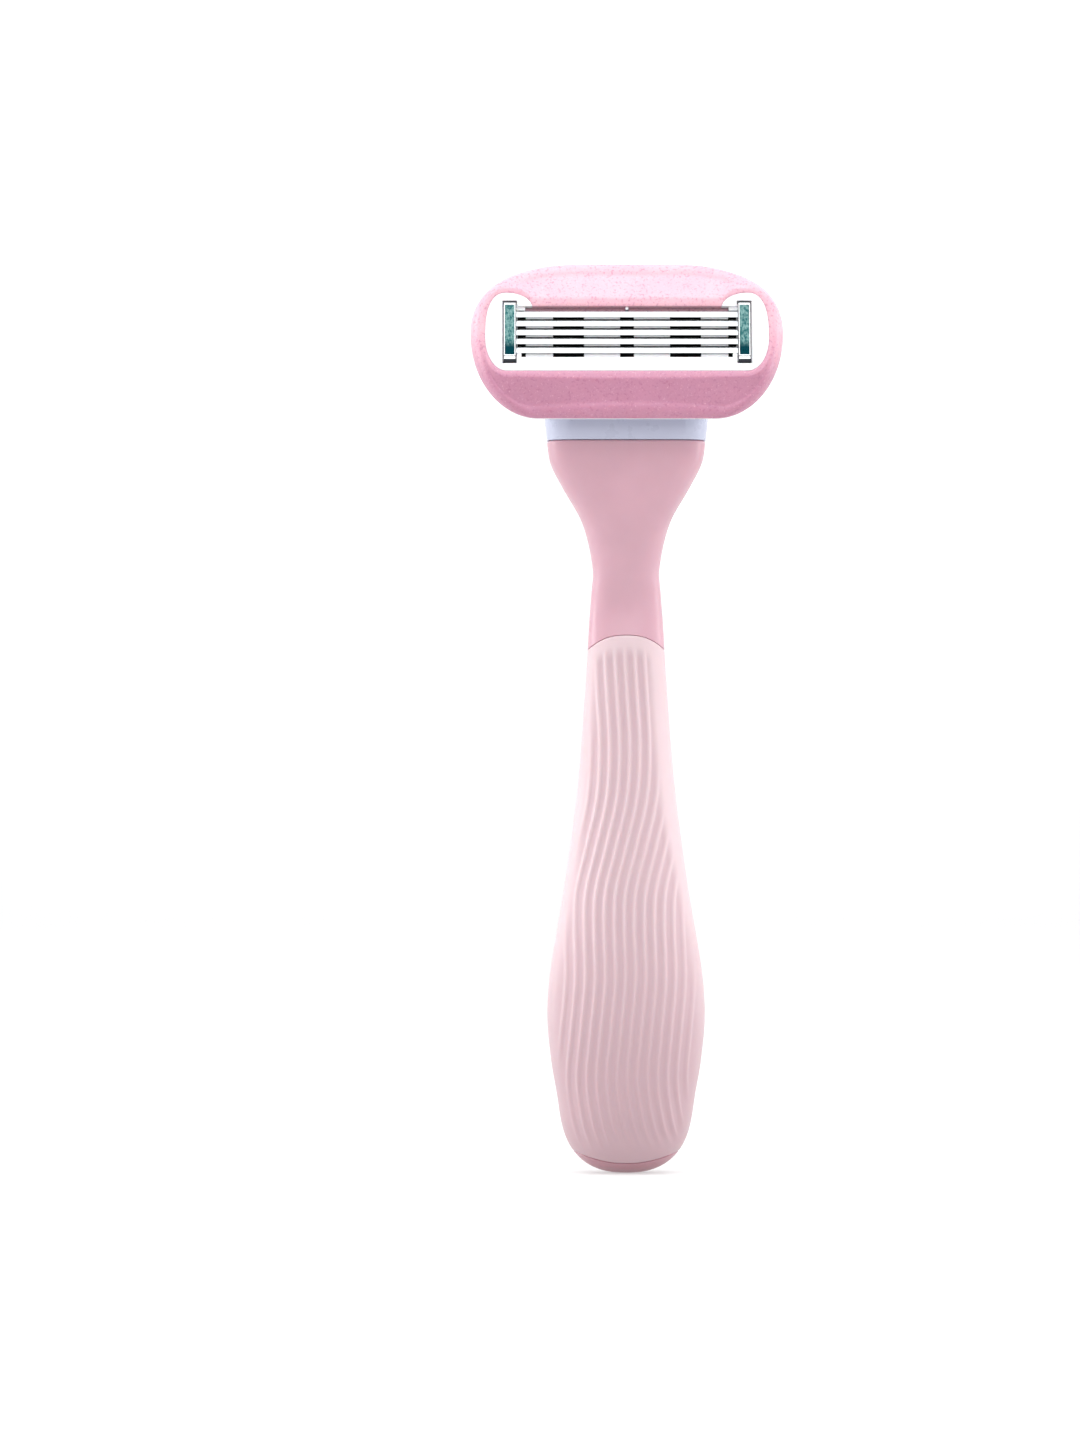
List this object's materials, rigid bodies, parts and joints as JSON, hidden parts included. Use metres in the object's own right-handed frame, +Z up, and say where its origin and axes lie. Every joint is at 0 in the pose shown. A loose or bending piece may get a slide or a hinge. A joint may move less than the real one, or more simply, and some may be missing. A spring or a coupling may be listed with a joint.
{
  "type": "cartridge razor",
  "caption": "Wet-shaving razor with a soft ribbed grip and a pull-off multi-blade cartridge that pivots on its connector.",
  "frame": {"origin": "under the middle of the bounding box, at the height of the handle's tip", "axes": "+Z runs up the handle to the cartridge, +X is the width and the blades face -Y"},
  "size_m": [0.0496, 0.0186, 0.1448],
  "materials": {
    "hard_pink_plastic": "satin moulded",
    "soft_pink_rubber": "matte, ribbed",
    "lubricating_pink": "waxy, finely speckled",
    "white_plastic": "smooth moulded",
    "lavender_plastic": "smooth moulded",
    "inner_plastic": "moulded",
    "blade_steel": "polished and ground",
    "support_steel": "stamped",
    "clip_metal": "bright, tinted",
    "spring_steel": "drawn wire"
  },
  "bodies": {
    "handle": {"handle_front_shell": "hard_pink_plastic", "handle_rear_shell": "hard_pink_plastic", "grip_sleeve": "soft_pink_rubber", "dock_frame": "inner_plastic", "plunger_spring": "spring_steel", "button_spring": "spring_steel"},
    "plunger": {"plunger": "white_plastic"},
    "release_slide": {"release_button": "hard_pink_plastic", "ejector_fork": "inner_plastic"},
    "connector": {"connector_yoke": "lavender_plastic"},
    "cartridge": {"blade_housing": "white_plastic", "lube_ring": "lubricating_pink", "ring_carrier": "white_plastic", "clip_left": "clip_metal", "clip_right": "clip_metal", "blade_1": "blade_steel", "blade_2": "blade_steel", "blade_3": "blade_steel", "blade_4": "blade_steel", "blade_5": "blade_steel", "blade_support_1": "support_steel", "blade_support_2": "support_steel", "blade_support_3": "support_steel", "blade_support_4": "support_steel", "blade_support_5": "support_steel"}
  },
  "joints": [
    {"name": "release_button_slide", "type": "slide", "parent": "handle", "child": "release_slide", "axis": [0, 0, 1], "range_m": [0, 0.0025], "stiffness_N_per_m": 400, "springref_m": -0.001, "deforming": ["button_spring"]},
    {"name": "connector_slide", "type": "slide", "parent": "release_slide", "child": "connector", "axis": [0, 0, 1], "range_m": [0, 0.01]},
    {"name": "cartridge_pivot", "type": "hinge", "parent": "connector", "child": "cartridge", "pos_m": [0, -0.0014, 0.125], "axis": [-1, 0, 0], "range_deg": [0, 40], "stiffness_Nm_per_rad": 0.004, "springref_deg": -11.46},
    {"name": "plunger_slide", "type": "slide", "parent": "handle", "child": "plunger", "axis": [0, 0, -1], "range_m": [0, 0.00196], "deforming": ["plunger_spring"]}
  ],
  "couplings": [
    {"joint": "plunger_slide", "follows": "cartridge_pivot", "m_per_rad": 0.0028}
  ]
}
